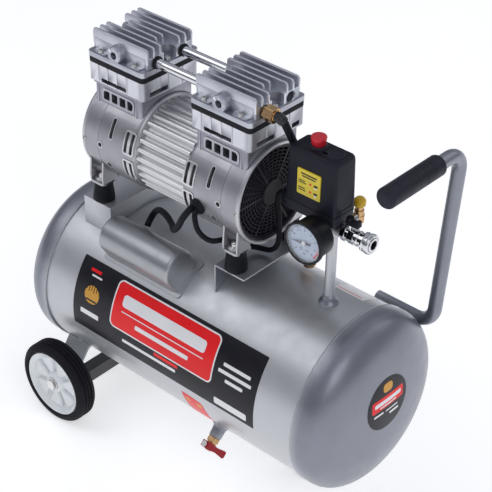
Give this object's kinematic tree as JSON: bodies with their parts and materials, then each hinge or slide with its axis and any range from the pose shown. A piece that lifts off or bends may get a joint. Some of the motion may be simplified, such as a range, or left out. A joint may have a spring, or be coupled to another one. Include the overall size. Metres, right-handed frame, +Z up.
{
  "type": "air compressor",
  "caption": "Portable twin-cylinder oil-free air compressor on a horizontal steel tank, with side wheels, a rubber foot, a grab handle, a pressure switch, a gauge and an outlet coupler.",
  "frame": {"origin": "on the floor under the middle of the machine: centre of the bounding box in x and y, lowest point in z", "axes": "+X along the tank towards the handle and outlet, -Y towards the front that carries the main label, +Z up"},
  "size_m": [0.579, 0.33, 0.581],
  "materials": {
    "tank_shell": "satin silver-grey paint",
    "tank_head_left": "satin silver-grey paint",
    "tank_head_right": "satin silver-grey paint",
    "wheel_leg_front": "satin silver-grey paint",
    "wheel_leg_rear": "satin silver-grey paint",
    "cross_tube": "black paint",
    "wheel_hub_front": "white moulded plastic",
    "wheel_hub_rear": "white moulded plastic",
    "tyre_front": "black rubber",
    "tyre_rear": "black rubber",
    "front_rubber_foot": "black rubber",
    "handle_tube": "satin silver-grey paint",
    "handle_grip": "ribbed black rubber",
    "motor_bracket_left": "satin silver-grey paint",
    "motor_bracket_right": "satin silver-grey paint",
    "rubber_mount_left_front": "black rubber",
    "rubber_mount_left_rear": "black rubber",
    "rubber_mount_right_front": "black rubber",
    "rubber_mount_right_rear": "black rubber",
    "crankcase_left": "satin die-cast aluminium",
    "crankcase_right": "satin die-cast aluminium",
    "fan_guard_left": "black moulded plastic",
    "fan_guard_right": "black moulded plastic",
    "stator_barrel": "as-extruded aluminium",
    "stator_core": "laminations and copper windings",
    "crankshaft": "turned steel",
    "fan_left": "black moulded plastic",
    "fan_right": "black moulded plastic",
    "cylinder_block_left": "die-cast aluminium",
    "cylinder_block_right": "die-cast aluminium",
    "piston_rod_left": "machined aluminium",
    "piston_rod_right": "machined aluminium",
    "valve_plate_left": "black plate and gasket",
    "valve_plate_right": "black plate and gasket",
    "cylinder_head_left": "die-cast aluminium",
    "cylinder_head_right": "die-cast aluminium",
    "transfer_pipe_front": "polished tube",
    "transfer_pipe_rear": "polished tube",
    "hose_fitting": "machined brass",
    "delivery_hose": "black braided-rubber hose",
    "check_valve": "machined brass",
    "capacitor_cover": "satin silver paint",
    "capacitor": "black plastic can",
    "cable_grommet": "black rubber",
    "capacitor_lead": "black sheathed cable",
    "switch_lead": "black sheathed cable",
    "riser_pipe": "plated steel tube",
    "manifold": "plated steel",
    "switch_base": "textured dark plastic",
    "switch_cover": "textured dark plastic",
    "switch_knob": "red moulded plastic",
    "gauge_case": "black case with a pale dial",
    "gauge_needle": "black needle",
    "outlet_valve": "chromed brass",
    "outlet_lever": "black plastic",
    "coupler_sleeve": "chromed steel",
    "safety_valve": "machined brass",
    "safety_cap": "yellow plastic",
    "drain_valve": "machined brass and plated nut",
    "drain_lever": "dark red plastic"
  },
  "bodies": {
    "base": {"tank_shell": "tank_shell", "tank_head_left": "tank_head_left", "tank_head_right": "tank_head_right", "wheel_leg_front": "wheel_leg_front", "wheel_leg_rear": "wheel_leg_rear", "cross_tube": "cross_tube", "front_rubber_foot": "front_rubber_foot", "handle_tube": "handle_tube", "handle_grip": "handle_grip", "motor_bracket_left": "motor_bracket_left", "motor_bracket_right": "motor_bracket_right", "rubber_mount_left_front": "rubber_mount_left_front", "rubber_mount_left_rear": "rubber_mount_left_rear", "rubber_mount_right_front": "rubber_mount_right_front", "rubber_mount_right_rear": "rubber_mount_right_rear", "crankcase_left": "crankcase_left", "crankcase_right": "crankcase_right", "fan_guard_left": "fan_guard_left", "fan_guard_right": "fan_guard_right", "stator_barrel": "stator_barrel", "stator_core": "stator_core", "cylinder_block_left": "cylinder_block_left", "cylinder_block_right": "cylinder_block_right", "valve_plate_left": "valve_plate_left", "valve_plate_right": "valve_plate_right", "cylinder_head_left": "cylinder_head_left", "cylinder_head_right": "cylinder_head_right", "transfer_pipe_front": "transfer_pipe_front", "transfer_pipe_rear": "transfer_pipe_rear", "hose_fitting": "hose_fitting", "delivery_hose": "delivery_hose", "check_valve": "check_valve", "capacitor_cover": "capacitor_cover", "capacitor": "capacitor", "cable_grommet": "cable_grommet", "capacitor_lead": "capacitor_lead", "switch_lead": "switch_lead", "riser_pipe": "riser_pipe", "manifold": "manifold", "switch_base": "switch_base", "switch_cover": "switch_cover", "gauge_case": "gauge_case", "outlet_valve": "outlet_valve", "safety_valve": "safety_valve", "drain_valve": "drain_valve"},
    "wheel_front": {"wheel_hub_front": "wheel_hub_front", "tyre_front": "tyre_front"},
    "wheel_rear": {"wheel_hub_rear": "wheel_hub_rear", "tyre_rear": "tyre_rear"},
    "crank": {"crankshaft": "crankshaft", "fan_left": "fan_left", "fan_right": "fan_right"},
    "piston_left": {"piston_rod_left": "piston_rod_left"},
    "piston_right": {"piston_rod_right": "piston_rod_right"},
    "knob": {"switch_knob": "switch_knob"},
    "needle": {"gauge_needle": "gauge_needle"},
    "valve_lever": {"outlet_lever": "outlet_lever"},
    "sleeve": {"coupler_sleeve": "coupler_sleeve"},
    "relief_cap": {"safety_cap": "safety_cap"},
    "drain_handle": {"drain_lever": "drain_lever"}
  },
  "joints": [
    {"name": "wheel_front_axle", "type": "hinge", "parent": "base", "child": "wheel_front", "pos_m": [-0.1855, -0.145, 0.0625], "axis": [0, 1, 0], "continuous": true},
    {"name": "wheel_rear_axle", "type": "hinge", "parent": "base", "child": "wheel_rear", "pos_m": [-0.1855, 0.145, 0.0625], "axis": [0, 1, 0], "continuous": true},
    {"name": "crank_spin", "type": "hinge", "parent": "base", "child": "crank", "pos_m": [-0.055, 0, 0.4297], "axis": [1, 0, 0], "continuous": true},
    {"name": "piston_left_slide", "type": "slide", "parent": "base", "child": "piston_left", "axis": [0, 0, 1], "range_m": [-0.008, 0.008]},
    {"name": "piston_right_slide", "type": "slide", "parent": "base", "child": "piston_right", "axis": [0, 0, 1], "range_m": [-0.008, 0.008]},
    {"name": "knob_pull", "type": "slide", "parent": "base", "child": "knob", "axis": [0, 0, 1], "range_m": [0, 0.006]},
    {"name": "needle_turn", "type": "hinge", "parent": "base", "child": "needle", "pos_m": [0.1796, -0.057, 0.426], "axis": [0, 1, 0], "range_deg": [0, 270], "stiffness_Nm_per_rad": 0.001},
    {"name": "outlet_lever_turn", "type": "hinge", "parent": "base", "child": "valve_lever", "pos_m": [0.20545, 0, 0.443], "axis": [0, 0, 1], "range_deg": [0, 90]},
    {"name": "sleeve_slide", "type": "slide", "parent": "base", "child": "sleeve", "axis": [1, 0, 0], "range_m": [-0.005, 0], "stiffness_N_per_m": 600, "springref_m": 0.003},
    {"name": "relief_cap_pull", "type": "slide", "parent": "base", "child": "relief_cap", "axis": [0, 0, 1], "range_m": [0, 0.003], "stiffness_N_per_m": 800, "springref_m": -0.001},
    {"name": "drain_lever_turn", "type": "hinge", "parent": "base", "child": "drain_handle", "pos_m": [0.076, -0.11031, 0.07169], "axis": [0, 0.7071, -0.7071], "range_deg": [0, 90]}
  ]
}
